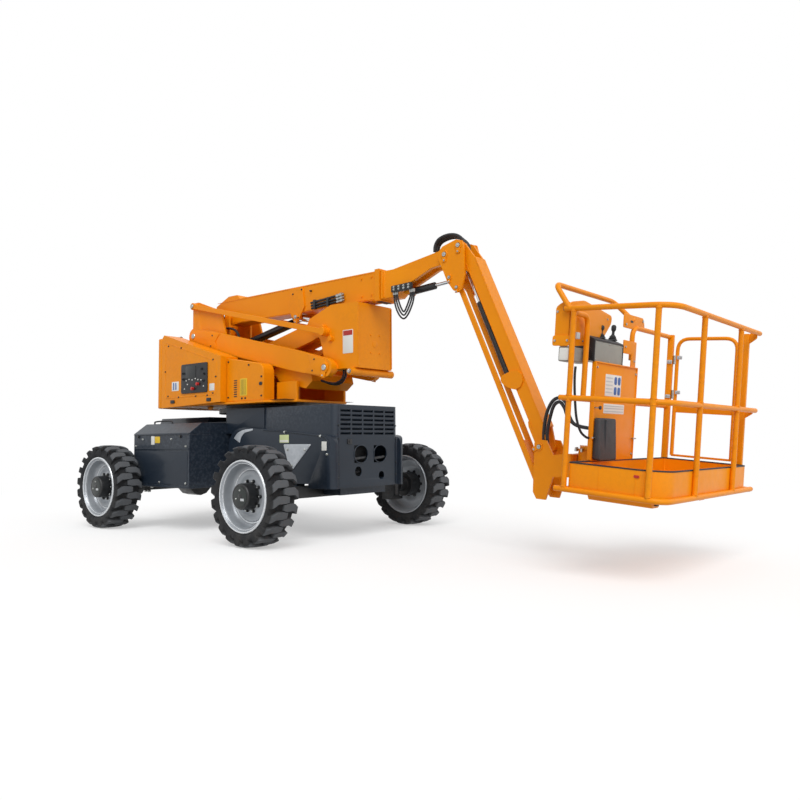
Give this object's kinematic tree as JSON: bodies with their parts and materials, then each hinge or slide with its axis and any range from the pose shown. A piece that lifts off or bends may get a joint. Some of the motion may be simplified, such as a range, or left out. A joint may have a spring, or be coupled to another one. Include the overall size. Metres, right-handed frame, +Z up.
{
  "type": "articulating boom lift",
  "caption": "Four-wheeled articulating boom lift: slewing turntable, double parallelogram riser, telescopic boom, jib and a rotating railed platform.",
  "frame": {"origin": "on the ground, under the middle of the bounding box", "axes": "+X forward, towards the platform; +Y to the machine's left; +Z up"},
  "size_m": [6.1684, 2.324, 2.49],
  "materials": {
    "black": "satin",
    "rubber": "matte",
    "silver": "satin",
    "navy": "satin",
    "orange": "satin",
    "chrome": "polished"
  },
  "bodies": {
    "chassis": {"rear_axle": "black", "front_axle": "black", "chassis_frame": "navy", "front_housing": "navy", "power_block": "black", "side_box_left": "navy", "side_box_lid_left": "navy", "battery_pack_left": "black", "side_box_right": "navy", "side_box_lid_right": "navy", "battery_pack_right": "black", "slewing_ring": "black"},
    "turntable": {"turntable_frame": "orange", "side_panel_left": "orange", "side_panel_right": "orange", "counterweight": "orange"},
    "wheel_rear_left": {"tyre_rear_left": "rubber", "rim_rear_left": "silver"},
    "steer_left": {"steering_knuckle_left": "black"},
    "wheel_front_left": {"tyre_front_left": "rubber", "rim_front_left": "silver"},
    "wheel_rear_right": {"tyre_rear_right": "rubber", "rim_rear_right": "silver"},
    "steer_right": {"steering_knuckle_right": "black"},
    "wheel_front_right": {"tyre_front_right": "rubber", "rim_front_right": "silver"},
    "hood_left": {"hood_left": "orange"},
    "hood_right": {"hood_right": "orange"},
    "lower_arm": {"lower_arm": "orange"},
    "riser_knuckle": {"riser_knuckle": "orange"},
    "upper_arm": {"upper_arm": "orange"},
    "boom_post": {"boom_post": "orange"},
    "boom_ram_barrel": {"boom_ram_barrel": "black"},
    "boom_ram_rod": {"boom_ram_rod": "chrome"},
    "main_boom": {"main_boom": "orange"},
    "fly_boom": {"fly_boom": "orange"},
    "levelling_ram_barrel": {"levelling_ram_barrel": "black"},
    "levelling_ram_rod": {"levelling_ram_rod": "chrome"},
    "jib_head_bracket": {"jib_head_bracket": "orange"},
    "jib": {"jib_beam": "orange"},
    "jib_ram_barrel": {"jib_ram_barrel": "black"},
    "jib_ram_rod": {"jib_ram_rod": "chrome"},
    "platform_bracket": {"platform_bracket": "orange"},
    "platform": {"platform_frame": "orange", "platform_floor": "orange", "rotator_mount": "orange", "control_console": "orange"},
    "platform_gate": {"platform_gate": "orange"},
    "jib_link": {"jib_link": "orange"},
    "upper_link": {"upper_link": "orange"},
    "tie_links": {"tie_link_left": "orange", "tie_link_right": "orange"},
    "riser_ram_left_barrel": {"riser_ram_left_barrel": "black"},
    "riser_ram_left_rod": {"riser_ram_left_rod": "chrome"},
    "riser_ram_right_barrel": {"riser_ram_right_barrel": "black"},
    "riser_ram_right_rod": {"riser_ram_right_rod": "chrome"}
  },
  "joints": [
    {"name": "turntable_swing", "type": "hinge", "parent": "chassis", "child": "turntable", "pos_m": [-1.52379, 0, 0], "axis": [0, 0, 1], "range_deg": [-177.5, 177.5]},
    {"name": "steer_left", "type": "hinge", "parent": "chassis", "child": "steer_left", "pos_m": [-0.37979, 0.782, 0.41641], "axis": [0, 0, 1], "range_deg": [-35, 35]},
    {"name": "wheel_spin_front_left", "type": "hinge", "parent": "steer_left", "child": "wheel_front_left", "pos_m": [-0.37979, 0.782, 0.41641], "axis": [0, 1, 0], "continuous": true},
    {"name": "wheel_spin_rear_left", "type": "hinge", "parent": "chassis", "child": "wheel_rear_left", "pos_m": [-2.66779, 1.032, 0.41641], "axis": [0, 1, 0], "continuous": true},
    {"name": "steer_right", "type": "hinge", "parent": "chassis", "child": "steer_right", "pos_m": [-0.37979, -0.782, 0.41641], "axis": [0, 0, 1], "range_deg": [-35, 35]},
    {"name": "wheel_spin_front_right", "type": "hinge", "parent": "steer_right", "child": "wheel_front_right", "pos_m": [-0.37979, -0.782, 0.41641], "axis": [0, 1, 0], "continuous": true},
    {"name": "wheel_spin_rear_right", "type": "hinge", "parent": "chassis", "child": "wheel_rear_right", "pos_m": [-2.66779, -1.032, 0.41641], "axis": [0, 1, 0], "continuous": true},
    {"name": "hood_left_hinge", "type": "hinge", "parent": "turntable", "child": "hood_left", "pos_m": [-1.52379, 0.352, 1.992], "axis": [1, 0, 0], "range_deg": [0, 60]},
    {"name": "hood_right_hinge", "type": "hinge", "parent": "turntable", "child": "hood_right", "pos_m": [-1.52379, -0.352, 1.992], "axis": [-1, 0, 0], "range_deg": [0, 60]},
    {"name": "riser_lift", "type": "hinge", "parent": "turntable", "child": "lower_arm", "pos_m": [-2.23379, 0, 1.984], "axis": [0, -1, 0], "range_deg": [0, 78]},
    {"name": "tie_link_pivot", "type": "hinge", "parent": "turntable", "child": "tie_links", "pos_m": [-2.31379, 0, 2.322], "axis": [0, -1, 0], "range_deg": [0, 78]},
    {"name": "knuckle_pivot", "type": "hinge", "parent": "lower_arm", "child": "riser_knuckle", "pos_m": [-0.25824, 0, 1.517], "axis": [0, 1, 0], "range_deg": [0, 78]},
    {"name": "upper_arm_pivot", "type": "hinge", "parent": "riser_knuckle", "child": "upper_arm", "pos_m": [-0.27379, 0, 1.995], "axis": [0, 1, 0], "range_deg": [0, 78]},
    {"name": "upper_link_pivot", "type": "hinge", "parent": "riser_knuckle", "child": "upper_link", "pos_m": [-0.27379, 0, 1.79], "axis": [0, 1, 0], "range_deg": [0, 78]},
    {"name": "post_pivot", "type": "hinge", "parent": "upper_arm", "child": "boom_post", "pos_m": [-2.24935, 0, 1.528], "axis": [0, -1, 0], "range_deg": [0, 78]},
    {"name": "boom_lift", "type": "hinge", "parent": "boom_post", "child": "main_boom", "pos_m": [-1.95379, 0, 2.185], "axis": [0, -1, 0], "range_deg": [0, 70]},
    {"name": "boom_extend", "type": "slide", "parent": "main_boom", "child": "fly_boom", "axis": [1, 0, 0], "range_m": [0, 1]},
    {"name": "head_level", "type": "hinge", "parent": "fly_boom", "child": "jib_head_bracket", "pos_m": [0.91321, 0, 2.386], "axis": [0, 1, 0], "range_deg": [0, 70]},
    {"name": "jib_lift", "type": "hinge", "parent": "jib_head_bracket", "child": "jib", "pos_m": [1.05121, 0, 2.438], "axis": [0, -1, 0], "range_deg": [-3.4, 131]},
    {"name": "jib_link_pivot", "type": "hinge", "parent": "jib_head_bracket", "child": "jib_link", "pos_m": [1.03321, 0, 2.096], "axis": [0, -1, 0], "range_deg": [-3.4, 131]},
    {"name": "bracket_pivot", "type": "hinge", "parent": "jib", "child": "platform_bracket", "pos_m": [1.75615, 0, 0.80899], "axis": [0, 1, 0], "range_deg": [-3.4, 131]},
    {"name": "platform_rotate", "type": "hinge", "parent": "platform_bracket", "child": "platform", "pos_m": [2.06121, 0, 0.554], "axis": [0.0863, 0, 0.9963], "range_deg": [-88, 90]},
    {"name": "gate_hinge", "type": "hinge", "parent": "platform", "child": "platform_gate", "pos_m": [2.38897, 0.74892, 0.52561], "axis": [-0.0863, 0, -0.9963], "range_deg": [0, 90]},
    {"name": "riser_ram_left_foot", "type": "hinge", "parent": "turntable", "child": "riser_ram_left_barrel", "pos_m": [-2.07379, 0.192, 1.296], "axis": [0, -1, 0], "range_deg": [0, 30.73]},
    {"name": "riser_ram_left_stroke", "type": "slide", "parent": "riser_ram_left_barrel", "child": "riser_ram_left_rod", "axis": [0.5671, 0, 0.8237], "range_m": [0, 0.5189]},
    {"name": "riser_ram_right_foot", "type": "hinge", "parent": "turntable", "child": "riser_ram_right_barrel", "pos_m": [-2.07379, -0.192, 1.296], "axis": [0, -1, 0], "range_deg": [0, 30.73]},
    {"name": "riser_ram_right_stroke", "type": "slide", "parent": "riser_ram_right_barrel", "child": "riser_ram_right_rod", "axis": [0.5671, 0, 0.8237], "range_m": [0, 0.5189]},
    {"name": "boom_ram_foot", "type": "hinge", "parent": "boom_post", "child": "boom_ram_barrel", "pos_m": [-1.92379, 0, 1.862], "axis": [0, -1, 0], "range_deg": [0, 59.69]},
    {"name": "boom_ram_stroke", "type": "slide", "parent": "boom_ram_barrel", "child": "boom_ram_rod", "axis": [0.9806, 0, 0.1961], "range_m": [0, 0.3034]},
    {"name": "levelling_ram_foot", "type": "hinge", "parent": "fly_boom", "child": "levelling_ram_barrel", "pos_m": [0.46121, 0, 2.15], "axis": [0, -1, 0], "range_deg": [0, 19.54]},
    {"name": "levelling_ram_stroke", "type": "slide", "parent": "levelling_ram_barrel", "child": "levelling_ram_rod", "axis": [0.9971, 0, 0.0759], "range_m": [-0.1922, 0]},
    {"name": "jib_ram_foot", "type": "hinge", "parent": "jib", "child": "jib_ram_barrel", "pos_m": [1.456, 0, 1.32633], "axis": [0, -1, 0], "range_deg": [-0.04, 1.07]},
    {"name": "jib_ram_stroke", "type": "slide", "parent": "jib_ram_barrel", "child": "jib_ram_rod", "axis": [-0.3917, 0, 0.9201], "range_m": [-0.0091, 0.3315]}
  ],
  "couplings": [
    {"joint": "steer_right", "follows": "steer_left", "ratio": 1},
    {"joint": "tie_link_pivot", "follows": "riser_lift", "ratio": 1},
    {"joint": "knuckle_pivot", "follows": "riser_lift", "ratio": 1},
    {"joint": "upper_arm_pivot", "follows": "riser_lift", "ratio": 1},
    {"joint": "upper_link_pivot", "follows": "riser_lift", "ratio": 1},
    {"joint": "post_pivot", "follows": "riser_lift", "ratio": 1},
    {"joint": "head_level", "follows": "boom_lift", "ratio": 1},
    {"joint": "jib_link_pivot", "follows": "jib_lift", "ratio": 1},
    {"joint": "bracket_pivot", "follows": "jib_lift", "ratio": 1},
    {"joint": "riser_ram_left_foot", "follows": "riser_lift", "ratio": 0.39378},
    {"joint": "riser_ram_left_stroke", "follows": "riser_lift", "m_per_rad": 0.38074},
    {"joint": "riser_ram_right_foot", "follows": "riser_lift", "ratio": 0.39378},
    {"joint": "riser_ram_right_stroke", "follows": "riser_lift", "m_per_rad": 0.38074},
    {"joint": "boom_ram_foot", "follows": "boom_lift", "ratio": 0.85254},
    {"joint": "boom_ram_stroke", "follows": "boom_lift", "m_per_rad": 0.24791},
    {"joint": "levelling_ram_foot", "follows": "boom_lift", "ratio": 0.279},
    {"joint": "levelling_ram_stroke", "follows": "boom_lift", "m_per_rad": -0.15685},
    {"joint": "jib_ram_foot", "follows": "jib_lift", "ratio": 0.008062},
    {"joint": "jib_ram_stroke", "follows": "jib_lift", "m_per_rad": 0.14474}
  ]
}
